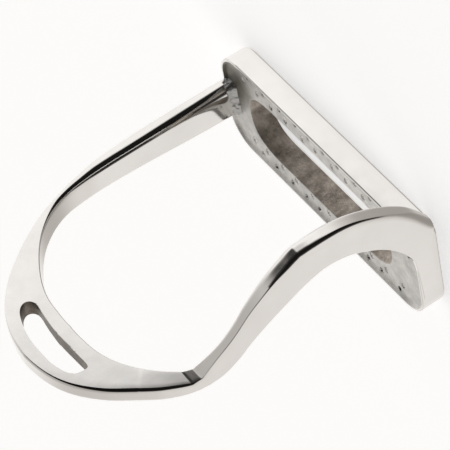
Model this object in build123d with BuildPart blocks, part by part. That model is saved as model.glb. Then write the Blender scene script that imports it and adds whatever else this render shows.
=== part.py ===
"""Bent-leg stirrup iron: a bow with a leather eye, welded to an open tread. Millimetres, +Z up.

The origin is the middle of the tread's underside. The straight inner branch stands at +X, and
the outer branch at -X bulges forward, towards -Y, so that a caught foot can slide out.
"""
import os

from build123d import *

# Tread
TREAD_LENGTH = 134.0
TREAD_WIDTH = 54.0
TREAD_HEIGHT = 11.0
TREAD_CORNER_RADIUS = 14.0
TREAD_EDGE_BREAK = 0.8
RIM_WALL = 1.3
RECESS_DEPTH = 1.2
LEDGE_WIDTH = 10.2
WINDOW_END_BAR = 18.5
WINDOW_CORNER_RADIUS = 9.0

# Bow, seen from the front
BOW_HEIGHT = 152.0
BOW_END_STEP = 1.0
BRANCH_THICKNESS = 6.5
OUTER_ARCH_DROP = 86.0
INNER_ARCH_DROP = 48.0
CROWN_DROP = 38.0
EYE_BRIDGE = 5.4
EYE_TOP_BAR = 4.8
EYE_LENGTH = 43.0
EYE_HEIGHT = 11.4
EYE_SIDE_HEIGHT = 3.6
EYE_CORNER_RADIUS = 1.5

# Bow, seen from the side
CROWN_FRONT = -8.3
CROWN_THICKNESS = 7.5
INNER_FOOT_DEPTH = 17.4
BULGE_REACH = 49.5
BULGE_HEIGHT = 50.0
BULGE_DEPTH = 15.4
OUTER_TOE_SETBACK = 2.0
OUTER_FOOT_DEPTH = 17.0
SIDE_REACH = 90.0

# Edges and welds
CROWN_ROUND = 1.5
WELD_LEG = 2.2
WELD_HEIGHT = 2.8
WELD_TAPER = 30.0

# Worked out from the sizes above
bow_half_width = TREAD_LENGTH / 2 - BOW_END_STEP
inner_half_width = bow_half_width - BRANCH_THICKNESS
arch_top = BOW_HEIGHT - EYE_TOP_BAR - EYE_HEIGHT - EYE_BRIDGE
eye_floor = arch_top + EYE_BRIDGE
crown_base = BOW_HEIGHT - CROWN_DROP
crown_back = CROWN_FRONT + CROWN_THICKNESS
bulge_front = CROWN_FRONT - BULGE_REACH
tread_front = -TREAD_WIDTH / 2
window_length = TREAD_LENGTH - 2 * WINDOW_END_BAR
window_width = TREAD_WIDTH - 2 * (RIM_WALL + LEDGE_WIDTH)
recess_length = 2 * (inner_half_width - WELD_LEG)
recess_width = TREAD_WIDTH - 2 * RIM_WALL
recess_floor = TREAD_HEIGHT - RECESS_DEPTH


def between(start, end, across, down):
    """A point of a curve's route, at two shares of the way from its start to its end."""
    return (start[0] + across * (end[0] - start[0]), start[1] + down * (end[1] - start[1]))


# The bow's front outline: a round arch over two straight branches, down to the tread's underside.
with BuildSketch(Plane.XZ) as bow_front:
    with BuildLine():
        outer_start = (0, BOW_HEIGHT)
        outer_end = (bow_half_width, BOW_HEIGHT - OUTER_ARCH_DROP)
        outer_route = [(0.31, 0.057), (0.642, 0.277), (0.836, 0.497), (0.952, 0.744)]
        outer_points = [between(outer_start, outer_end, across, down) for across, down in outer_route]
        Spline(outer_start, *outer_points, outer_end, tangents=[(1, 0), (0, -1)])
        inner_start = (0, arch_top)
        inner_end = (inner_half_width, arch_top - INNER_ARCH_DROP)
        inner_route = [(0.319, 0.019), (0.576, 0.146), (0.817, 0.388), (0.956, 0.688)]
        inner_points = [between(inner_start, inner_end, across, down) for across, down in inner_route]
        Spline(inner_start, *inner_points, inner_end, tangents=[(1, 0), (0, -1)])
        Polyline(outer_end, (bow_half_width, 0), (inner_half_width, 0), inner_end)
        Line(outer_start, inner_start)
    make_face()
    mirror(about=Plane.YZ)

# The tread's outline, shared by the tread and by all that stands on it.
with BuildSketch() as tread_outline:
    RectangleRounded(TREAD_LENGTH, TREAD_WIDTH, TREAD_CORNER_RADIUS)


# Crown: the flat top of the bow, with the D-shaped eye for the stirrup leather.
with BuildPart() as crown_eye:
    with BuildSketch(Plane.XZ.offset(-crown_back)):
        add(bow_front.sketch)
        with Locations((0, crown_base)):
            Rectangle(TREAD_LENGTH, BOW_HEIGHT, align=(Align.CENTER, Align.MIN), mode=Mode.INTERSECT)
    extrude(amount=CROWN_THICKNESS)
    arch_edges = crown_eye.edges().filter_by(lambda edge: edge.length > CROWN_DROP)
    fillet(arch_edges.group_by(Axis.Y)[-1], CROWN_ROUND)
    with BuildSketch(Plane.XZ.offset(-crown_back)) as eye:
        with BuildLine():
            right_corner = (EYE_LENGTH / 2, eye_floor)
            left_corner = (-EYE_LENGTH / 2, eye_floor)
            right_shoulder = (EYE_LENGTH / 2, eye_floor + EYE_SIDE_HEIGHT)
            left_shoulder = (-EYE_LENGTH / 2, eye_floor + EYE_SIDE_HEIGHT)
            Polyline(left_shoulder, left_corner, right_corner, right_shoulder)
            ThreePointArc(right_shoulder, (0, eye_floor + EYE_HEIGHT), left_shoulder)
        make_face()
        fillet(eye.vertices(), EYE_CORNER_RADIUS)
    extrude(amount=CROWN_THICKNESS, mode=Mode.SUBTRACT)


# Inner branch: straight, its front flush with the crown's and its back spreading to the foot.
with BuildPart() as inner_branch:
    with BuildSketch(Plane.XZ.offset(-SIDE_REACH)):
        add(bow_front.sketch)
        Rectangle(TREAD_LENGTH, crown_base, align=(Align.MIN, Align.MIN), mode=Mode.INTERSECT)
    extrude(amount=2 * SIDE_REACH)
    with BuildSketch(Plane.YZ):
        with BuildLine():
            foot_back = CROWN_FRONT + INNER_FOOT_DEPTH
            neck_back = (crown_back, crown_base)
            heel_back = (foot_back, TREAD_HEIGHT)
            Polyline(neck_back, (CROWN_FRONT, crown_base), (CROWN_FRONT, 0), (foot_back, 0), heel_back)
            shin_back = between(heel_back, neck_back, 0.675, 0.805)
            Spline(heel_back, shin_back, neck_back, tangents=[(-0.07, 1), (0, 1)])
        make_face()
    extrude(amount=TREAD_LENGTH, mode=Mode.INTERSECT)
    with BuildSketch():
        add(tread_outline.sketch)
    extrude(amount=TREAD_HEIGHT, mode=Mode.SUBTRACT)


# Outer branch: leaves the crown's plane, bulges forward, and flares back into the tread's end.
with BuildPart() as outer_branch:
    with BuildSketch(Plane.XZ.offset(-SIDE_REACH)):
        add(bow_front.sketch)
        Rectangle(TREAD_LENGTH, crown_base, align=(Align.MAX, Align.MIN), mode=Mode.INTERSECT)
    extrude(amount=2 * SIDE_REACH)
    with BuildSketch(Plane.YZ):
        with BuildLine():
            neck_front = (CROWN_FRONT, crown_base)
            bulge = (bulge_front, BULGE_HEIGHT)
            toe = (tread_front + OUTER_TOE_SETBACK, 0)
            front_route = [between(neck_front, bulge, 0.384, 0.313), between(neck_front, bulge, 0.838, 0.594)]
            Spline(neck_front, *front_route, bulge, between(bulge, toe, 0.274, 0.62), toe,
                   tangents=[(0, -1), (1, -0.45)])
            neck_back = (crown_back, crown_base)
            hollow = (bulge_front + BULGE_DEPTH, BULGE_HEIGHT)
            heel = (tread_front + OUTER_FOOT_DEPTH, TREAD_HEIGHT)
            Spline(heel, between(hollow, heel, 0.285, 0.59), hollow, between(neck_back, hollow, 0.76, 0.61),
                   between(neck_back, hollow, 0.226, 0.25), neck_back, tangents=[(-1, 0.25), (0, 1)])
            Polyline(toe, (heel[0], 0), heel)
            Line(neck_back, neck_front)
        make_face()
    extrude(amount=-TREAD_LENGTH, mode=Mode.INTERSECT)
    with BuildSketch():
        add(tread_outline.sketch)
    extrude(amount=TREAD_HEIGHT, mode=Mode.SUBTRACT)


# Tread: an oblong tray with a thin rim, a shallow ledge and a through window.
with BuildPart() as tread_plate:
    add(tread_outline.sketch)
    extrude(amount=TREAD_HEIGHT)
    chamfer(tread_plate.faces().sort_by(Axis.Z)[0].edges(), TREAD_EDGE_BREAK)
    with BuildSketch(Plane.XY.offset(recess_floor)):
        RectangleRounded(recess_length, recess_width, TREAD_CORNER_RADIUS - RIM_WALL)
    extrude(amount=RECESS_DEPTH, mode=Mode.SUBTRACT)
    with BuildSketch():
        RectangleRounded(window_length, window_width, WINDOW_CORNER_RADIUS)
    extrude(amount=TREAD_HEIGHT, mode=Mode.SUBTRACT)


def make_weld(branch, foot_front, foot_back, side):
    """A bead round a branch's foot, on top of the tread and clear of its outer edge."""
    foot_centre = (side * (bow_half_width + inner_half_width) / 2, (foot_front + foot_back) / 2)
    with BuildPart() as weld:
        with BuildSketch(Plane.XY.offset(TREAD_HEIGHT)):
            with Locations(foot_centre):
                weld_length = foot_back - foot_front + 2 * WELD_LEG
                RectangleRounded(BRANCH_THICKNESS + 2 * WELD_LEG, weld_length, WELD_LEG)
        extrude(amount=WELD_HEIGHT, taper=WELD_TAPER)
        with BuildSketch(Plane.XY.offset(TREAD_HEIGHT)):
            add(tread_outline.sketch)
            offset(amount=-TREAD_EDGE_BREAK, mode=Mode.REPLACE)
        extrude(amount=WELD_HEIGHT, mode=Mode.INTERSECT)
        add(branch.part, mode=Mode.SUBTRACT)
        if side < 0:
            split(bisect_by=Plane.YZ.offset(-inner_half_width), keep=Keep.TOP)
    return weld


inner_foot_weld = make_weld(inner_branch, CROWN_FRONT, CROWN_FRONT + INNER_FOOT_DEPTH, 1)
outer_foot_weld = make_weld(outer_branch, tread_front + WELD_LEG, tread_front + OUTER_FOOT_DEPTH, -1)


pieces = {
    "crown_eye": crown_eye,
    "inner_branch": inner_branch,
    "outer_branch": outer_branch,
    "tread_plate": tread_plate,
    "inner_foot_weld": inner_foot_weld,
    "outer_foot_weld": outer_foot_weld,
}
os.makedirs("parts", exist_ok=True)
for name, piece in pieces.items():
    piece.part.label = name
    export_step(piece.part, f"parts/{name}.step")
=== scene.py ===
"""Bent-leg stirrup iron in polished stainless steel, finished for rendering."""
import math

import bmesh
import bpy
from bpy.props import FloatProperty, FloatVectorProperty, PointerProperty
from mathutils import Matrix, Vector, noise


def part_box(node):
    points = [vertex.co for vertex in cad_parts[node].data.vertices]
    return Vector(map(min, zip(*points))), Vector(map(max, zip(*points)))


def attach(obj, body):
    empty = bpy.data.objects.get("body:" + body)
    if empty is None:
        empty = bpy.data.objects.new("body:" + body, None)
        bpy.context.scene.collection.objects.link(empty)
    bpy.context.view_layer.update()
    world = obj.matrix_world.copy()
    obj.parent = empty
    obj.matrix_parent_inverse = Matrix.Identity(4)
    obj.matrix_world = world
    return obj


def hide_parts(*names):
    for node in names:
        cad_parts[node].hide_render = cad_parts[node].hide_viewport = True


bl_info = {
    "name": "Stirrup iron",
    "version": (1, 0, 0),
    "blender": (4, 5, 0),
    "location": "View3D > Sidebar > Stirrup",
    "description": "Bent-leg stirrup iron with its steel finishes, on a plain stage",
    "category": "Object",
}

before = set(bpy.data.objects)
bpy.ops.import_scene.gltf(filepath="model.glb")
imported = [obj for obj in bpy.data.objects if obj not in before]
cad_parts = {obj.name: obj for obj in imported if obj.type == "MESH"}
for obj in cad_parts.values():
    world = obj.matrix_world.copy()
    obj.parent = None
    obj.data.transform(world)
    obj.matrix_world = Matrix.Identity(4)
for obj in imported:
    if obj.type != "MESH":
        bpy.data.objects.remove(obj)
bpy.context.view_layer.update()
MM = 0.001

TREAD_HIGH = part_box("tread_plate")[1]
# The ledge lies this far below the rim, and the weld beads start just inside it, in millimetres.
LEDGE_DEPTH = 1.2
BEAD_BASE = TREAD_HIGH.z / MM - 1.35

# The arch is drawn in rays from a centre on the iron's middle line, in millimetres and degrees.
ARCH_CENTRE_Z = 88.0
OUTER_RADII = [(0, 63.0), (11, 60.9), (21, 59.9), (32, 59.4), (43.5, 59.9), (57, 61.9), (71, 63.8),
               (90, 64.8)]
OUTER_LEG_RADII = [(0, 63.8), (11, 61.2), (21, 59.9), (32, 59.1), (43.5, 59.2), (57, 61.3), (71, 63.6),
                   (90, 64.8)]
INNER_LEG_RADII = [(0, 58.9), (10, 56.9), (18, 54.4), (26.3, 51.9), (36, 49.7), (45.8, 48.0), (56, 46.5),
                   (65.8, 45.1), (78, 43.4), (90, 42.6)]
INNER_RADII = [(0, 58.9), (10, 57.8), (26.3, 54.2), (45.8, 49.2), (65.8, 45.6), (78, 43.5), (90, 42.6)]
# Half-widths of the bow below the arch, by height.
OUTER_HALF_WIDTHS = [(0, 66.5), (62, 66.4), (70, 66.0), (77.3, 65.3), (82, 64.4), (88, 63.0)]
LEG_HALF_WIDTHS = [(0, 67.9), (14, 67.8), (30, 67.4), (62, 67.2), (70, 66.9), (77.3, 66.2), (82, 65.3),
                   (88, 63.8)]
INNER_HALF_WIDTHS = [(0, 60.0), (66, 60.0), (74, 59.9), (81, 59.6), (88, 58.9)]
# Depth of the bow's front and back, by height.
CROWN_FRONT, CROWN_BACK = -8.3, -0.8
INNER_BACKS = [(0, 9.3), (20, 8.7), (59, 5.6), (94, 3.6), (106, 2.6), (118, 1.5), (130, 0.2), (142, -0.8),
               (160, -0.8)]
OUTER_FRONTS = [
    (-4, -22.5), (0, -27.6), (3.5, -32.5), (8, -38.4), (14, -43.8), (20, -48.0), (27, -51.8),
    (34, -54.8), (40, -56.4), (47, -57.2), (54, -57.35), (60.4, -57.1), (60.4, -57.1), (62.5, -56.2),
    (66, -54.2), (72, -50.6), (78, -45.8), (84, -39.6), (89, -33.0), (94, -26.6), (99, -20.5),
    (102, -16.6), (106.2, -10.8), (106.2, -10.8), (107.4, -10.1), (108.6, -9.4), (109.8, -8.7),
    (109.8, -8.7), (118, -8.4), (124, -8.3), (130, -8.3), (160, -8.3),
]
OUTER_BACKS = [
    (9.6, 20.0), (10.6, -2.0), (11.6, -11.4), (14, -18.1), (17.5, -23.6), (21.8, -28.4), (26, -31.8),
    (30.5, -34.6), (35, -37.0), (40, -39.0), (45, -40.2), (50, -40.6), (57, -39.2), (63, -37.0),
    (69, -34.0), (75, -30.6), (81, -26.0), (86, -21.2), (91.5, -15.2), (98, -8.8), (104, -5.0),
    (110, -2.6), (116, -1.2), (122, -0.8), (125, -0.8), (160, -0.8),
]
# Heights that face each other across the outer branch where it leaves the crown: inside and outside.
NECK_PAIRS = [(109.8, 109.8), (106.2, 106.2), (98, 98), (88, 88)]
# Heights that face each other across the outer branch: down its front and down its back.
OUTER_PAIRS = [
    (88, 88), (72, 72), (62, 62), (60.4, 60.4), (50, 50), (44, 45), (38, 40), (32, 35), (26, 30.5), (20, 26),
    (14, 21.8), (8.6, 17.5), (4.2, 14), (1.6, 11.6), (0.9, 10.8), (0.6, 10.2), (0.45, 9.8),
]
# Rounding of the bent branch's front edges by height: the outer one's reach across the front and along the
# side, and the inner one's radius.
OUTER_EDGE_FRONTS = [(0, 3.6), (8, 2.4), (16, 1.1), (30, 1.2), (42, 1.4), (52, 1.5), (58.5, 1.5), (64, 1.4),
                     (70, 0.9), (76, 0.5), (88, 0.35), (106, 0.35), (112, 0.8), (120, 1.0), (160, 1.2)]
OUTER_EDGE_SIDES = [(0, 3.6), (8, 3.6), (16, 2.8), (30, 3.2), (42, 4.0), (58.5, 4.8), (70, 5.0), (88, 4.5),
                    (104, 3.4), (112, 2.0), (120, 2.0), (160, 2.4)]
OUTER_INSIDE_RADII = [(0, 2.4), (60, 2.4), (80, 2.0), (100, 1.2), (112, 0.6), (160, 0.6)]
# Half-width of the bent branch's inner back edge: the flare thins as it runs back along the tread's end.
FLARE_HALF_WIDTHS = [(9.6, 66.2), (11.6, 65.7), (14, 64.4), (17.5, 62.7), (21.8, 61.2), (26, 60.3),
                     (32, 60.0), (66, 60.0), (74, 59.9), (81, 59.6), (88, 58.9)]


def smooth_value(table, x):
    """The height at x of a smooth curve through (x, height) pairs."""
    last = len(table) - 1
    x = min(max(x, table[0][0]), table[last][0])
    i = max(k for k in range(last) if (table[k][0] <= x and table[k][0] < table[k + 1][0]) or k == 0)
    (x0, y0), (x1, y1) = table[i], table[i + 1]

    def slope(k):
        """Slope at point k: a parabola's, or one-sided where the table ends or has a crease."""
        before = k > 0 and table[k - 1][0] < table[k][0]
        after = k < last and table[k + 1][0] > table[k][0]
        rise = [(table[m + 1][1] - table[m][1]) / (table[m + 1][0] - table[m][0])
                for m, wanted in ((k - 1, before), (k, after)) if wanted]
        if len(rise) < 2:
            return rise[0]
        if rise[0] * rise[1] <= 0:
            return 0.0
        left, right = table[k][0] - table[k - 1][0], table[k + 1][0] - table[k][0]
        return (right * rise[0] + left * rise[1]) / (left + right)

    width = x1 - x0
    t = (x - x0) / width
    return ((2 * t**3 - 3 * t**2 + 1) * y0 + (t**3 - 2 * t**2 + t) * width * slope(i)
            + (3 * t**2 - 2 * t**3) * y1 + (t**3 - t**2) * width * slope(i + 1))


def arch_ray(angle, inner_radii, outer_radii):
    """(half-width, height) of the inner and outer outline on the arch's ray at an angle above level."""
    ray = Vector((math.cos(math.radians(angle)), math.sin(math.radians(angle))))
    centre = Vector((0, ARCH_CENTRE_Z))
    return (centre + ray * smooth_value(inner_radii, angle), centre + ray * smooth_value(outer_radii, angle))


def arch_at(radii, height):
    """Half-width at a height of the arch that a table of radii gives."""
    low, high = 0.0, 80.0
    for _ in range(24):
        angle = (low + high) / 2
        if ARCH_CENTRE_Z + smooth_value(radii, angle) * math.sin(math.radians(angle)) < height:
            low = angle
        else:
            high = angle
    return smooth_value(radii, angle) * math.cos(math.radians(angle))


def section_ring(corners, radii, arc_steps=8, side_steps=3):
    """Points round a four-cornered bar section whose corners are rounded.

    The corners run front inner, front outer, back outer, back inner. A rounding is a radius in millimetres,
    or its reach on the side before the corner and on the side after it.
    """
    count = len(corners)
    sides = [corners[(i + 1) % count] - corner for i, corner in enumerate(corners)]
    rounds = [radius if isinstance(radius, tuple) else (radius, radius) for radius in radii]
    befores = [min(before, 0.49 * sides[i - 1].length) for i, (before, after) in enumerate(rounds)]
    afters = [min(after, 0.49 * sides[i].length) for i, (before, after) in enumerate(rounds)]
    ring = []
    for i, corner in enumerate(corners):
        start, end = sides[i - 1].normalized() * -befores[i], sides[i].normalized() * afters[i]
        for step in range(arc_steps + 1):
            turn = math.radians(90 * step / arc_steps)
            ring.append(corner + start * (1 - math.sin(turn)) + end * (1 - math.cos(turn)))
        following = (i + 1) % count
        next_start = corners[following] - sides[i].normalized() * befores[following]
        for step in range(1, side_steps + 1):
            ring.append((corner + end).lerp(next_start, step / (side_steps + 1)))
    return ring


def loft(bm, rings, closed=False):
    """Draws a tube through rings of points, by extruding one circle of edges from ring to ring.

    A closed tube ends on its first ring again.
    """
    if closed:
        rings = [*rings, rings[0]]
    made = bmesh.ops.create_circle(bm, segments=len(rings[0]), radius=1.0)
    loop = list(made["verts"])
    for vert, place in zip(loop, rings[0]):
        vert.co = place
    edges = [bm.edges.get((loop[i - 1], loop[i])) for i in range(len(loop))]
    first_edges = edges
    for ring in rings[1:]:
        grown = bmesh.ops.extrude_edge_only(bm, edges=edges)["geom"]
        new_verts = set(item for item in grown if isinstance(item, bmesh.types.BMVert))
        loop = [next(edge.other_vert(vert) for edge in vert.link_edges if edge.other_vert(vert) in new_verts)
                for vert in loop]
        for vert, place in zip(loop, ring):
            vert.co = place
        edges = [bm.edges.get((loop[i - 1], loop[i])) for i in range(len(loop))]
    if closed:
        bmesh.ops.remove_doubles(bm, verts=bm.verts, dist=0.0001)
    else:
        bmesh.ops.edgeloop_fill(bm, edges=first_edges)
        bmesh.ops.edgeloop_fill(bm, edges=edges)
    bmesh.ops.recalc_face_normals(bm, faces=bm.faces)


def finish_piece(name, bm, materials, replaced, sharp_angle=32):
    """Turns a mesh in millimetres into a piece in metres that rides on the iron."""
    bmesh.ops.scale(bm, vec=(MM, MM, MM), verts=bm.verts)
    mesh = bpy.data.meshes.new(name)
    bm.to_mesh(mesh)
    bm.free()
    for material in materials:
        mesh.materials.append(material)
    mesh.shade_smooth()
    mesh.set_sharp_from_angle(angle=math.radians(sharp_angle))
    piece = bpy.data.objects.new(name, mesh)
    bpy.context.collection.objects.link(piece)
    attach(piece, "root")
    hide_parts(*replaced)
    return piece


# ---------------------------------------------------------------- materials


class Nodes:
    """A short way to write a node tree."""

    def __init__(self, name):
        self.material = bpy.data.materials.new(name)
        self.material.use_nodes = True
        self.tree = self.material.node_tree
        self.shader = self.tree.nodes["Principled BSDF"]

    def add(self, kind, inputs=None, **settings):
        node = self.tree.nodes.new(kind)
        for key, value in settings.items():
            setattr(node, key, value)
        for key, value in (inputs or {}).items():
            if isinstance(value, bpy.types.NodeSocket):
                self.tree.links.new(value, node.inputs[key])
            else:
                node.inputs[key].default_value = value
        return node

    def link(self, output, socket):
        self.tree.links.new(output, self.shader.inputs[socket])

    def place(self, scale=(1, 1, 1), turn=(0, 0, 0)):
        coordinates = self.add("ShaderNodeTexCoord")
        mapping = self.add("ShaderNodeMapping", {"Vector": coordinates.outputs["Object"], "Scale": scale,
                                                 "Rotation": turn})
        return mapping.outputs["Vector"]

    def ramp(self, value, stops):
        node = self.add("ShaderNodeValToRGB", {"Fac": value})
        elements = node.color_ramp.elements
        while len(elements) < len(stops):
            elements.new(0.5)
        for element, (position, colour) in zip(elements, stops):
            element.position = position
            element.color = (*colour, 1)
        return node.outputs["Color"]


def grey(value, warmth=0.0):
    return (value * (1 + warmth), value, value * (1 - warmth))


def polished_steel(colour, roughness):
    """Mirror-polished stainless steel: faint waviness, fine polishing lines and tiny handling marks."""
    n = Nodes("polished_steel")
    n.shader.inputs["Metallic"].default_value = 1.0
    waves = n.add("ShaderNodeTexNoise", {"Vector": n.place(), "Scale": 90.0, "Detail": 2.0})
    lines = n.add("ShaderNodeTexNoise", {"Vector": n.place((160, 2600, 160)), "Scale": 1.0, "Detail": 3.0})
    marks = n.add("ShaderNodeTexVoronoi", {"Vector": n.place((700, 90, 500), (0.4, 0.3, 0.5)), "Scale": 1.0},
                  feature="DISTANCE_TO_EDGE")
    mark_mask = n.ramp(marks.outputs["Distance"], [(0.0, (1, 1, 1)), (0.012, (0, 0, 0))])
    clouds = n.add("ShaderNodeTexNoise", {"Vector": n.place(), "Scale": 38.0, "Detail": 5.0,
                                          "Roughness": 0.6})
    tint = n.ramp(clouds.outputs["Fac"], [(0.3, tuple(c * 0.93 for c in colour)), (0.7, tuple(colour))])
    n.link(tint, "Base Color")
    rough = n.add("ShaderNodeMapRange", {"Value": lines.outputs["Fac"], "From Min": 0.3, "From Max": 0.7,
                                         "To Min": roughness * 0.8, "To Max": roughness * 1.35})
    marked = n.add("ShaderNodeMath", {0: mark_mask, 1: 0.08}, operation="MULTIPLY")
    total = n.add("ShaderNodeMath", {0: rough.outputs["Result"], 1: marked.outputs["Value"]}, operation="ADD")
    n.link(total.outputs["Value"], "Roughness")
    bump_waves = n.add("ShaderNodeBump", {"Height": waves.outputs["Fac"], "Strength": 0.05,
                                          "Distance": 0.5 * MM})
    bump_lines = n.add("ShaderNodeBump", {"Height": lines.outputs["Fac"], "Strength": 0.05,
                                          "Distance": 0.04 * MM, "Normal": bump_waves.outputs["Normal"]})
    n.link(bump_lines.outputs["Normal"], "Normal")
    return n.material


def cast_steel(name, dark, light, roughness, grain, metallic=0.85, depth=0.4 * MM):
    """Unpolished as-cast or scaled steel: grain, blotches and dark specks.

    Returns its nodes, and its colour before it reaches the shader.
    """
    n = Nodes(name)
    n.shader.inputs["Metallic"].default_value = metallic
    blotches = n.add("ShaderNodeTexNoise", {"Vector": n.place(), "Scale": 160.0, "Detail": 8.0,
                                            "Roughness": 0.65})
    fine = n.add("ShaderNodeTexNoise", {"Vector": n.place(), "Scale": grain, "Detail": 6.0, "Roughness": 0.7})
    specks = n.add("ShaderNodeTexVoronoi", {"Vector": n.place(), "Scale": grain * 0.45})
    speck_mask = n.ramp(specks.outputs["Distance"], [(0.06, (0.35, 0.32, 0.3)), (0.16, (1, 1, 1))])
    tone = n.ramp(blotches.outputs["Fac"], [(0.32, dark), (0.68, light)])
    mixed = n.add("ShaderNodeMix", {"Factor": 0.55, 6: tone, 7: speck_mask}, data_type="RGBA",
                  blend_type="MULTIPLY")
    colour = mixed.outputs[2]
    n.link(colour, "Base Color")
    rough = n.add("ShaderNodeMapRange", {"Value": fine.outputs["Fac"], "To Min": roughness * 0.8,
                                         "To Max": min(roughness * 1.3, 1.0)})
    n.link(rough.outputs["Result"], "Roughness")
    bump = n.add("ShaderNodeBump", {"Height": fine.outputs["Fac"], "Strength": 0.5, "Distance": depth})
    bump_big = n.add("ShaderNodeBump", {"Height": blotches.outputs["Fac"], "Strength": 0.35,
                                        "Distance": depth * 2, "Normal": bump.outputs["Normal"]})
    n.link(bump_big.outputs["Normal"], "Normal")
    return n, colour


def darken_pits_and_paint_ledge_shade(n, colour):
    """Darkens the bottom of the ledge's pits, and paints shade as a dark patch on the ledge beside the inner
    weld.
    """
    parts = n.add("ShaderNodeSeparateXYZ", {"Vector": n.place()})
    floor = TREAD_HIGH.z - LEDGE_DEPTH * MM
    # Painted shade: a dark patch on the ledge beside the inner weld, full within 7 mm of this centre and gone
    # by 17 mm.
    painted_shade_centre = Vector((61, -11, 9.8)) * MM
    # The pits turn near black towards their bottoms: the colour starts to darken 0.125 mm below the ledge's
    # level and is fully dark from 0.3 mm below.
    pit_bottom_share = n.add("ShaderNodeMapRange", {"Value": parts.outputs["Z"], "From Min": floor - 0.3 * MM,
                                        "From Max": floor - 0.125 * MM})
    pits_darkened = n.add("ShaderNodeMix", {"Factor": pit_bottom_share.outputs["Result"], 6: (0.03, 0.027, 0.025, 1), 7: colour},
                  data_type="RGBA")
    away = n.add("ShaderNodeVectorMath", {0: n.place(), 1: painted_shade_centre}, operation="DISTANCE")
    clear = n.add("ShaderNodeMapRange", {"Value": away.outputs["Value"], "From Min": 7 * MM,
                                         "From Max": 17 * MM})
    painted_shade_tone = n.add("ShaderNodeMix", {"Factor": clear.outputs["Result"], 6: (0.30, 0.29, 0.25, 1),
                                     7: pits_darkened.outputs[2]}, data_type="RGBA")
    n.link(painted_shade_tone.outputs[2], "Base Color")


# ---------------------------------------------------------------- sizes and colours


class StirrupSettings(bpy.types.PropertyGroup):
    """Sizes in millimetres and colours that a user would change."""

    front_round: FloatProperty(name="Front inner rounding", default=2.6, min=0.5, max=2.9,
                               description="Radius of the bow's front edge beside the foot, in millimetres")
    back_round: FloatProperty(name="Back rounding", default=2.6, min=0.5, max=2.9,
                              description="Radius of the bow's back edges, in millimetres")
    rim_wall: FloatProperty(name="Rim wall", default=1.3, min=0.8, max=3.0,
                            description="Thickness of the rim round the tread's ledge, in millimetres")
    window_half_length: FloatProperty(name="Window half length", default=48.5, min=30.0, max=52.0,
                                      description="From the tread's middle to the end of its window")
    window_half_width: FloatProperty(name="Window half width", default=15.5, min=8.0, max=18.0,
                                     description="From the tread's middle to the side of its window")
    pit_pitch: FloatProperty(name="Pit pitch", default=10.4, min=6.0, max=30.0,
                             description="Distance between the cast pits of one row on the ledge")
    steel_colour: FloatVectorProperty(name="Steel", subtype="COLOR", size=3, default=(0.80, 0.785, 0.765),
                                      min=0.0, max=1.0, description="Colour of the polished steel")
    steel_roughness: FloatProperty(name="Polish", default=0.09, min=0.01, max=0.6, subtype="FACTOR",
                                   description="Roughness of the polished steel")


def settings():
    return bpy.context.scene.stirrup


# ---------------------------------------------------------------- bow


def leg_corners(front_z, back_z):
    """The four corners of the bent branch between a height at its front and one at its back."""
    corners = []
    for height, depths, order in ((front_z, OUTER_FRONTS, (INNER_HALF_WIDTHS, LEG_HALF_WIDTHS)),
                                  (back_z, OUTER_BACKS, (LEG_HALF_WIDTHS, FLARE_HALF_WIDTHS))):
        for widths in order:
            corners.append(Vector((-smooth_value(widths, height), smooth_value(depths, height), height)))
    return corners


def blended(start, end, share):
    """Each rounding of start moved towards end's by a soft share."""
    share = min(max(share, 0.0), 1.0)
    share = share * share * (3 - 2 * share)
    return [(a[0] + (b[0] - a[0]) * share, a[1] + (b[1] - a[1]) * share) for a, b in zip(start, end)]


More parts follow.
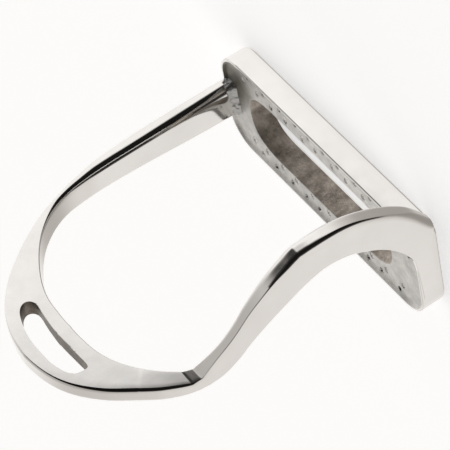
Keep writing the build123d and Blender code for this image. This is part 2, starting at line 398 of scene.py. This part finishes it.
def bow_rings(options, foot_z):
    """Section rings from the inner foot, over the arch, to the outer foot."""
    soft, back_round = options.front_round, options.back_round
    crown_radii = ((0.5, 0.5), (0.7, 1.4), (1.0, 1.0), (0.9, 0.9))
    inner_radii = [(4.2, soft), (0.5, 0.5), (back_round, back_round), (1.6, 1.6)]
    neck_radii = ((0.6, 0.6), (1.2, 2.4), (1.4, 1.4), (1.4, 1.4))
    # The inner branch's edges turn into the crown's from 12 mm below the arch's first ray to its 36th degree.
    ease_before, ease_length = 12, 48
    rings = []
    straight_steps = 60
    for step in range(straight_steps):
        height = foot_z + (ARCH_CENTRE_Z - foot_z) * step / straight_steps
        inner, outer = smooth_value(INNER_HALF_WIDTHS, height), smooth_value(OUTER_HALF_WIDTHS, height)
        back = smooth_value(INNER_BACKS, height)
        # The edge beside the foot grows softer over the lowest 48 mm.
        near_foot = min(max((62 - height) / 48, 0.0), 1.0)
        inner_radii[0] = (4.2 + 2.8 * near_foot, soft + 0.5 * near_foot)
        share = (height - ARCH_CENTRE_Z + ease_before) / ease_length
        rings.append(section_ring([Vector((inner, CROWN_FRONT, height)), Vector((outer, CROWN_FRONT, height)),
                                   Vector((outer, back, height)), Vector((inner, back, height))],
                                  blended(inner_radii, crown_radii, share)))
    for angle in range(90):
        inner, outer = arch_ray(angle, INNER_RADII, OUTER_RADII)
        corners = [Vector((inner.x, CROWN_FRONT, inner.y)), Vector((outer.x, CROWN_FRONT, outer.y)),
                   Vector((outer.x, smooth_value(INNER_BACKS, outer.y), outer.y)),
                   Vector((inner.x, smooth_value(INNER_BACKS, inner.y), inner.y))]
        share = (angle + ease_before) / ease_length
        rings.append(section_ring(corners, blended(inner_radii, crown_radii, share)))
    last_ray = 42
    for angle in range(90, last_ray, -1):
        inner, outer = arch_ray(angle, INNER_LEG_RADII, OUTER_LEG_RADII)
        corners = [Vector((-inner.x, CROWN_FRONT, inner.y)), Vector((-outer.x, CROWN_FRONT, outer.y)),
                   Vector((-outer.x, CROWN_BACK, outer.y)), Vector((-inner.x, CROWN_BACK, inner.y))]
        rings.append(section_ring(corners, blended(neck_radii, crown_radii, (angle - last_ray) / 45)))
    inner, outer = arch_ray(last_ray, INNER_LEG_RADII, OUTER_LEG_RADII)
    pairs = [(inner.y, outer.y), *NECK_PAIRS]
    for (inner_a, outer_a), (inner_b, outer_b) in zip(pairs, pairs[1:]):
        steps = round(1.5 * max(inner_a - inner_b, outer_a - outer_b))
        for step in range(steps):
            share = step / steps
            inner_z, outer_z = inner_a + (inner_b - inner_a) * share, outer_a + (outer_b - outer_a) * share
            inner_x, outer_x = -arch_at(INNER_LEG_RADII, inner_z), -arch_at(OUTER_LEG_RADII, outer_z)
            corners = [Vector((inner_x, smooth_value(OUTER_FRONTS, inner_z), inner_z)),
                       Vector((outer_x, smooth_value(OUTER_FRONTS, outer_z), outer_z)),
                       Vector((outer_x, smooth_value(OUTER_BACKS, outer_z), outer_z)),
                       Vector((inner_x, smooth_value(OUTER_BACKS, inner_z), inner_z))]
            edge = (smooth_value(OUTER_EDGE_FRONTS, outer_z), smooth_value(OUTER_EDGE_SIDES, outer_z))
            inside = smooth_value(OUTER_INSIDE_RADII, inner_z)
            rings.append(section_ring(corners, (inside, edge, 1.4, 1.6)))
    for (front_a, back_a), (front_b, back_b) in zip(OUTER_PAIRS, OUTER_PAIRS[1:]):
        steps = max(3, round(1.4 * abs(front_a - front_b)))
        for step in range(steps):
            share = step / steps
            front_z, back_z = front_a + (front_b - front_a) * share, back_a + (back_b - back_a) * share
            edge = (smooth_value(OUTER_EDGE_FRONTS, front_z), smooth_value(OUTER_EDGE_SIDES, front_z))
            inside = smooth_value(OUTER_INSIDE_RADII, front_z)
            back_edge = 0.6 + 1.0 * min(max((front_z - 8) / 26, 0.0), 1.0)
            rings.append(section_ring(leg_corners(front_z, back_z), (inside, edge, back_edge, back_edge)))
    return rings


EYE_OUTLINE = [
    (0, 136.8), (-10, 136.4), (-18, 136.0), (-20.9, 136.15), (-21.7, 137.2), (-21.5, 139.8), (-20.6, 142.0),
    (-17.6, 144.4), (-10.5, 146.3), (-2.3, 146.7), (5.3, 146.4), (11.3, 145.3), (16.8, 143.6), (20.3, 141.6),
    (21.9, 139.2), (21.6, 137.1), (19.9, 135.6), (17.2, 135.2), (10.1, 136.1),
]


def closed_curve(points, steps):
    """A smooth closed line through points, with steps points in each stretch."""
    line = []
    count = len(points)
    for i in range(count):
        a, b, c, d = (Vector(points[(i + k) % count]) for k in (-1, 0, 1, 2))
        for step in range(steps):
            t = step / steps
            line.append(0.5 * (2 * b + (c - a) * t + (2 * a - 5 * b + 4 * c - d) * t**2
                               + (3 * b - a - 3 * c + d) * t**3))
    return line


def cut_eye(bow):
    """Cuts the D-shaped eye through the crown and breaks its edges."""
    outline = closed_curve(EYE_OUTLINE, 5)
    bm = bmesh.new()
    verts = [bm.verts.new((x * MM, (CROWN_FRONT - 5) * MM, z * MM)) for x, z in outline]
    face = bm.faces.new(verts)
    grown = bmesh.ops.extrude_face_region(bm, geom=[face])["geom"]
    far = [item for item in grown if isinstance(item, bmesh.types.BMVert)]
    bmesh.ops.translate(bm, vec=(0, 0.018, 0), verts=far)
    bmesh.ops.recalc_face_normals(bm, faces=bm.faces)
    mesh = bpy.data.meshes.new("eye_cutter")
    bm.to_mesh(mesh)
    bm.free()
    cutter = bpy.data.objects.new("eye_cutter", mesh)
    bpy.context.collection.objects.link(cutter)
    cut = bow.modifiers.new("eye", "BOOLEAN")
    cut.operation, cut.solver, cut.object = "DIFFERENCE", "EXACT", cutter
    edge = bow.modifiers.new("eye edge", "BEVEL")
    edge.width, edge.segments, edge.limit_method, edge.angle_limit = 0.0004, 3, "ANGLE", math.radians(50)
    edge.use_clamp_overlap = True
    bpy.context.view_layer.update()
    finished = bpy.data.meshes.new_from_object(bow.evaluated_get(bpy.context.evaluated_depsgraph_get()))
    bow.modifiers.clear()
    bow.data = finished
    bpy.data.objects.remove(cutter)
    eye_half_length, eye_low, eye_reach, inset = 22.4, 135.0, 59.3, 0.2
    for polygon in finished.polygons:
        centre = polygon.center / MM
        in_eye = (abs(centre.x) < eye_half_length and centre.z > eye_low
                  and math.hypot(centre.x, centre.z - ARCH_CENTRE_Z) < eye_reach)
        within = CROWN_FRONT + inset < centre.y < CROWN_BACK - inset
        if in_eye and within and abs(polygon.normal.y) < 0.6:
            polygon.material_index = 1
    finished.set_sharp_from_angle(angle=math.radians(32))


class STIRRUP_OT_bow(bpy.types.Operator):
    """Make the bow: crown with its eye, straight inner branch and bent outer branch"""

    bl_idname = "stirrup.bow"
    bl_label = "Bow"

    def execute(self, context):
        options = settings()
        foot_depth = 1.5
        bm = bmesh.new()
        loft(bm, bow_rings(options, TREAD_HIGH.z / MM - foot_depth))
        steel = polished_steel(options.steel_colour, options.steel_roughness)
        eye_wall = cast_steel("eye_wall_steel", (0.08, 0.065, 0.05), (0.28, 0.245, 0.21), 0.40, 900.0)[0]
        bow = finish_piece("bow", bm, [steel, eye_wall.material],
                           ["crown_eye", "inner_branch", "outer_branch"])
        cut_eye(bow)
        weighted = bow.modifiers.new("even shading", "WEIGHTED_NORMAL")
        weighted.keep_sharp = True
        return {"FINISHED"}


# ---------------------------------------------------------------- tread


def blunt_oblong(count, half_length, half_width, end_length, power):
    """An oblong outline with blunt superellipse ends."""
    line = []
    for k in range(count):
        c, s = math.cos(k / count * math.tau), math.sin(k / count * math.tau)
        x = math.copysign(abs(c) ** (2 / power) * end_length + half_length - end_length, c)
        line.append(Vector((x, math.copysign(abs(s) ** (2 / power) * half_width, s))))
    return line


def rounded_oblong(count, half_length, half_width, radii):
    """An oblong outline with its own radius at each corner, anticlockwise from +X +Y."""
    line = [Vector((half_length, 0))]
    for k, radius in enumerate(radii):
        sign_x, sign_y = ((1, 1), (-1, 1), (-1, -1), (1, -1))[k]
        centre = Vector((sign_x * (half_length - radius), sign_y * (half_width - radius)))
        for step in range(count + 1):
            turn = math.radians(90 * (k + step / count))
            line.append(centre + radius * Vector((math.cos(turn), math.sin(turn))))
    return line


def even_outline(count, fine):
    """count points evenly spaced along an outline, with their outward directions."""
    lengths = [0.0]
    for a, b in zip(fine, fine[1:] + fine[:1]):
        lengths.append(lengths[-1] + (b - a).length)
    points, k = [], 0
    for i in range(count):
        target = lengths[-1] * i / count
        while lengths[k + 1] < target:
            k += 1
        share = (target - lengths[k]) / max(lengths[k + 1] - lengths[k], 1e-9)
        points.append(fine[k % len(fine)].lerp(fine[(k + 1) % len(fine)], share))
    outward = []
    for i in range(count):
        along = points[(i + 1) % count] - points[i - 1]
        outward.append(Vector((along.y, -along.x)).normalized())
    return points, outward


def pit_places(pitch):
    """(middle, radius) of the cast pits: two staggered rows on each side of the ledge, a little uneven."""
    rows = ((18.6, 0.0), (23.2, 0.45))
    furthest = 52.5
    places = []
    for side in (-1, 1):
        for row, offset in rows:
            for k in range(-6, 7):
                x = (k + offset) * pitch + 2.4 * noise.noise(Vector((k * 3.1, row, side * 7.7)))
                y = side * (row + 0.6 * noise.noise(Vector((k * 1.7, row * 2.3, side * 3.3))))
                radius = 0.72 + 0.3 * noise.noise(Vector((x * 1.3, y, 1.0)))
                if abs(x) < furthest:
                    places.append((Vector((x, y + 0.5)), radius))
    return places


def ledge_rise(place, pits):
    """How far the cast ledge stands above its level at a place: slow waves, grain and pits."""
    pit_depth, pit_length, pit_width = 0.9, 1.15, 1.9
    rise = 0.07 * noise.noise(Vector((place.x * 0.22, place.y * 0.22, 4.0)))
    rise += 0.035 * noise.noise(Vector((place.x * 1.3, place.y * 1.3, 9.0)))
    for middle, radius in pits:
        if abs(place.x - middle.x) < 2.0 and abs(place.y - middle.y) < 3.0:
            away = Vector(((place.x - middle.x) / pit_length, (place.y - middle.y) / pit_width)).length
            rise -= pit_depth * math.exp(-(away / radius) ** 2)
    return rise


def wall_roughness(place, height):
    """How far the window's rough wall stands outside its line."""
    rough = 0.16 * noise.noise(Vector((place.x * 0.5, place.y * 0.5, height * 0.5)))
    return rough + 0.10 * noise.noise(Vector((place.x * 1.4, place.y * 1.4, height * 1.2)))


def tread_steps(rim, cove_foot, ledge_edge, top, floor):
    """The tread's section from its outer bottom edge, over rim and ledge, to the window's bottom edge.

    Each step names the line that it follows, how far it lies from that line and its height: inwards from the
    outer line, outwards from the window's line, or a share of the way from one to the other on the ledge.
    """
    ledge_steps = 30
    return [
        ("outer", 0.9, 0.0), ("outer", 0.45, 0.12), ("outer", 0.12, 0.45), ("outer", 0.0, 0.9),
        ("outer", 0.0, top * 0.33), ("outer", 0.0, top * 0.66), ("outer", 0.0, top - 0.5),
        ("outer", 0.1, top - 0.18), ("outer", 0.35, top), ("outer", rim - 0.3, top),
        ("outer", rim - 0.1, top - 0.08), ("outer", rim + 0.35, top - 0.45),
        ("outer", rim + 0.9, floor + 0.3), ("outer", cove_foot, floor + 0.05),
        *(("ledge", (k + 1) / (ledge_steps + 1), floor) for k in range(ledge_steps)),
        ("window", ledge_edge, floor), ("window", 0.12, floor - 0.14), ("window", 0.0, floor - 0.5),
        ("window", -0.5, top * 0.7), ("window", -1.1, top * 0.5), ("window", -1.7, top * 0.3),
        ("window", -2.2, 0.6), ("window", -2.1, 0.15), ("window", -1.6, 0.0),
    ]


class STIRRUP_OT_tread(bpy.types.Operator):
    """Make the tread: outer band, thin rim, pitted ledge and rough-walled window"""

    bl_idname = "stirrup.tread"
    bl_label = "Tread"

    def execute(self, context):
        options = settings()
        count = 840
        end_gap, end_stretch = 0.5, 1.016
        half_length, half_width = TREAD_HIGH.x / MM - end_gap, TREAD_HIGH.y / MM
        top = TREAD_HIGH.z / MM
        floor = top - LEDGE_DEPTH
        # The end under the bent branch's blade reaches a little further, and its front corner is tighter.
        outline = [Vector((place.x * (end_stretch if place.x < 0 else 1), place.y))
                   for place in rounded_oblong(40, half_length, half_width, (13.5, 13.5, 6.0, 13.5))]
        outer, outward = even_outline(count, outline)
        window_half = Vector((options.window_half_length, options.window_half_width))
        window, window_out = even_outline(count, blunt_oblong(3000, window_half.x, window_half.y, 19.0, 2.7))
        window_centre = Vector((1.6, 1.1))
        window = [place + window_centre for place in window]
        rim, ledge_edge = options.rim_wall, 0.45
        cove_foot = rim + 1.35
        pits = pit_places(options.pit_pitch)
        rings = []
        for kind, amount, height in tread_steps(rim, cove_foot, ledge_edge, top, floor):
            ring = []
            for i in range(count):
                z = height
                if kind == "outer":
                    place = outer[i] - outward[i] * amount
                elif kind == "window":
                    place = window[i] + window_out[i] * amount
                    if 0.5 < height < floor - 0.2:
                        place = place + window_out[i] * wall_roughness(place, height)
                else:
                    ledge_start = outer[i] - outward[i] * cove_foot
                    place = ledge_start.lerp(window[i] + window_out[i] * ledge_edge, amount)
                    z += ledge_rise(place, pits)
                ring.append(Vector((place.x, place.y, z)))
            rings.append(ring)
        bm = bmesh.new()
        loft(bm, rings, closed=True)
        wall_reach, wall_bottom, wall_top = 1.5, 0.3, floor - 0.3
        for face in bm.faces:
            middle = face.calc_center_median()
            inside_rim = abs(middle.y) < half_width - rim + 0.1 and abs(middle.x) < half_length - rim + 0.1
            by_window = (abs(middle.y - window_centre.y) < window_half.y + wall_reach
                         and abs(middle.x - window_centre.x) < window_half.x + wall_reach)
            if inside_rim and wall_top < middle.z < top - 0.1:
                face.material_index = 1
            elif by_window and wall_bottom < middle.z <= wall_top:
                face.material_index = 2
        band = bpy.data.materials["polished_steel"]
        ledge, ledge_colour = cast_steel("ledge_steel", (0.64, 0.635, 0.615), (0.97, 0.965, 0.94), 0.42,
                                         1500.0, metallic=0.7)
        darken_pits_and_paint_ledge_shade(ledge, ledge_colour)
        wall = cast_steel("window_wall_steel", (0.30, 0.26, 0.22), (0.86, 0.79, 0.71), 0.55, 700.0,
                          metallic=0.6, depth=0.8 * MM)[0]
        tread = finish_piece("tread", bm, [band, ledge.material, wall.material],
                             ["tread_plate"], sharp_angle=50)
        weighted = tread.modifiers.new("even shading", "WEIGHTED_NORMAL")
        weighted.keep_sharp = True
        return {"FINISHED"}


# ---------------------------------------------------------------- welds


def weld_bead(name, node, side, outer, front, back, leg, height, bumps, margin):
    """A rough bead that follows a branch's foot on the ledge.

    side is the end of the tread. outer, front and back bound the foot that the bead runs round. leg and
    height are its width on the ledge and its reach up the branch, bumps is the strength of its roughness, and
    margin is how far it stays inside outer.
    """
    inner, sunk, turns = 60.0, 0.6, 12
    corners = [Vector((side * inner, front, 0)), Vector((side * outer, front, 0)),
               Vector((side * outer, back, 0)), Vector((side * inner, back, 0))]
    path = section_ring(corners, (1.6, 1.6, 1.6, 1.6), arc_steps=8, side_steps=30)
    centre = Vector((side * (inner + outer) / 2, (front + back) / 2, 0))
    limit = outer - margin
    rings = []
    for i, place in enumerate(path):
        along = (path[(i + 1) % len(path)] - path[i - 1]).normalized()
        outward = Vector((along.y, -along.x, 0))
        if outward.dot(place - centre) < 0:
            outward.negate()
        swell = 1 + 0.3 * noise.noise(place * 0.45)
        reach = leg * swell
        if side * (place + outward * reach).x > limit:
            reach = max(0.15, limit - side * place.x)
        ring = []
        for k in range(turns + 1):
            share = k / turns
            across = reach * (1 - share) ** 1.3
            up = height * swell * share**1.25
            rough = 0.30 * bumps * noise.noise(Vector((place.x * 1.7, place.y * 1.7, share * 4)))
            rough += 0.26 * bumps * noise.noise(Vector((place.x * 3.4, place.y * 3.4, share * 10)))
            ring.append(place + outward * (across + rough - 0.25 * share) + Vector((0, 0, BEAD_BASE + up)))
        ring.append(place - outward * sunk + Vector((0, 0, BEAD_BASE + height * swell * 0.9)))
        ring.append(place - outward * sunk + Vector((0, 0, BEAD_BASE - 0.1)))
        rings.append(ring)
    bm = bmesh.new()
    loft(bm, rings, closed=True)
    rough_steel = bpy.data.materials.get("weld_steel") or cast_steel(
        "weld_steel", (0.42, 0.39, 0.36), (0.92, 0.90, 0.87), 0.45, 1900.0, metallic=0.75,
        depth=0.9 * MM)[0].material
    finish_piece(name, bm, [rough_steel], [node], sharp_angle=70)


class STIRRUP_OT_welds(bpy.types.Operator):
    """Make the rough weld beads at the feet of the two branches"""

    bl_idname = "stirrup.welds"
    bl_label = "Foot welds"

    def execute(self, context):
        inner_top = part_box("inner_foot_weld")[1].z / MM
        weld_bead("inner_weld_bead", "inner_foot_weld", 1, outer=66.0, front=CROWN_FRONT, back=9.1,
                  leg=1.5, height=inner_top - BEAD_BASE, bumps=0.8, margin=0.2)
        weld_bead("outer_weld_bead", "outer_foot_weld", -1, outer=62.5, front=-21.5, back=-8.0,
                  leg=0.4, height=0.9, bumps=0.15, margin=1.4)
        return {"FINISHED"}


# ---------------------------------------------------------------- stage


def studio_world(toward_camera):
    """A bright, even studio, greyer overhead and below, with an unlit room behind the viewer."""
    world = bpy.data.worlds.new("studio")
    world.use_nodes = True
    tree = world.node_tree
    background = tree.nodes["Background"]
    coordinates = tree.nodes.new("ShaderNodeTexCoord")

    def along(direction, stops):
        """A grey that depends on how far a direction of the room leans towards another."""
        facing = tree.nodes.new("ShaderNodeVectorMath")
        facing.operation = "DOT_PRODUCT"
        facing.inputs[1].default_value = direction
        tree.links.new(coordinates.outputs["Generated"], facing.inputs[0])
        share = tree.nodes.new("ShaderNodeMapRange")
        share.inputs["From Min"].default_value = -1.0
        tree.links.new(facing.outputs["Value"], share.inputs["Value"])
        ramp = tree.nodes.new("ShaderNodeValToRGB")
        tree.links.new(share.outputs["Result"], ramp.inputs["Fac"])
        elements = ramp.color_ramp.elements
        while len(elements) < len(stops):
            elements.new(0.5)
        for element, (lean, value, warmth) in zip(elements, stops):
            element.position = (lean + 1) / 2
            element.color = (*grey(value, warmth), 1)
        return ramp.outputs["Color"]

    def product(a, b):
        node = tree.nodes.new("ShaderNodeMix")
        node.data_type, node.blend_type = "RGBA", "MULTIPLY"
        node.inputs["Factor"].default_value = 1.0
        tree.links.new(a, node.inputs[6])
        tree.links.new(b, node.inputs[7])
        return node.outputs[2]

    room = along(toward_camera, [(-1, 1, 0), (0.17, 1, 0), (0.20, 0.85, 0), (0.25, 0.35, 0.01),
                                 (0.30, 0.045, 0.02), (0.6, 0.008, 0.05), (1, 0.012, 0.05)])
    height = along(Vector((0, 0, 1)), [(-1, 0.34, 0.05), (-0.75, 0.42, 0.05), (-0.45, 0.85, 0.02),
                                       (-0.3, 1.0, 0.006), (0.35, 0.93, 0.012), (0.6, 0.72, 0.02),
                                       (0.8, 0.50, 0.03), (1, 0.5, 0.03)])
    side = along(Vector((0.61, -0.793, 0)), [(-1, 0.80, 0.022), (-0.3, 0.86, 0.018), (0.4, 0.97, 0.008),
                                             (1, 1, 0.006)])
    reflected = product(product(room, height), side)
    lit = tree.nodes.new("ShaderNodeMix")
    lit.data_type = "RGBA"
    path = tree.nodes.new("ShaderNodeLightPath")
    tree.links.new(path.outputs["Is Camera Ray"], lit.inputs["Factor"])
    tree.links.new(reflected, lit.inputs[6])
    lit.inputs[7].default_value = (0.86, 0.86, 0.86, 1)
    tree.links.new(lit.outputs[2], background.inputs["Color"])
    background.inputs["Strength"].default_value = 1.15
    bpy.context.scene.world = world


class STIRRUP_OT_stage(bpy.types.Operator):
    """Make the pale floor, the soft light and the camera"""

    bl_idname = "stirrup.stage"
    bl_label = "Stage"

    def execute(self, context):
        bm = bmesh.new()
        bmesh.ops.create_grid(bm, x_segments=2, y_segments=2, size=6.0)
        mesh = bpy.data.meshes.new("floor")
        bm.to_mesh(mesh)
        bm.free()
        floor = bpy.data.objects.new("floor", mesh)
        bpy.context.collection.objects.link(floor)
        paper = bpy.data.materials.new("pale_paper")
        paper.use_nodes = True
        shader = paper.node_tree.nodes["Principled BSDF"]
        shader.inputs["Base Color"].default_value = (0.93, 0.93, 0.925, 1)
        shader.inputs["Roughness"].default_value = 0.9
        shader.inputs["Emission Color"].default_value = (1, 1, 1, 1)
        shader.inputs["Emission Strength"].default_value = 0.62
        mesh.materials.append(paper)
        floor.visible_glossy = False

        toward_camera = Vector((-0.586, -0.7633, 0.272))
        studio_world(toward_camera)

        camera = bpy.data.objects.new("camera", bpy.data.cameras.new("camera"))
        bpy.context.collection.objects.link(camera)
        right = Vector((-0.5647, 0.1439, -0.8127))
        up = Vector((0.5812, -0.6298, -0.5154))
        back = right.cross(up).normalized()
        turn = Matrix((right, up, back)).transposed().to_4x4()
        camera.matrix_world = Matrix.Translation(Vector((-0.7293, -0.9599, 0.3945))) @ turn
        camera.data.sensor_width = 36.0
        camera.data.lens = 250.6
        camera.data.clip_start = 0.01
        bpy.context.scene.camera = camera
        bpy.context.scene.view_settings.view_transform = "Standard"
        return {"FINISHED"}


class STIRRUP_PT_panel(bpy.types.Panel):
    """The iron's sizes and its making steps"""

    bl_idname = "STIRRUP_PT_panel"
    bl_label = "Stirrup iron"
    bl_space_type = "VIEW_3D"
    bl_region_type = "UI"
    bl_category = "Stirrup"

    def draw(self, context):
        for name in StirrupSettings.__annotations__:
            self.layout.prop(context.scene.stirrup, name)
        for operator in OPERATORS:
            self.layout.operator(operator.bl_idname)


OPERATORS = (STIRRUP_OT_bow, STIRRUP_OT_tread, STIRRUP_OT_welds, STIRRUP_OT_stage)
CLASSES = (StirrupSettings, *OPERATORS, STIRRUP_PT_panel)


def register():
    for item in CLASSES:
        bpy.utils.register_class(item)
    bpy.types.Scene.stirrup = PointerProperty(type=StirrupSettings)


def unregister():
    del bpy.types.Scene.stirrup
    for item in reversed(CLASSES):
        bpy.utils.unregister_class(item)


def main():
    register()
    bpy.ops.stirrup.bow()
    bpy.ops.stirrup.tread()
    bpy.ops.stirrup.welds()
    bpy.ops.stirrup.stage()


if __name__ == "__main__":
    main()
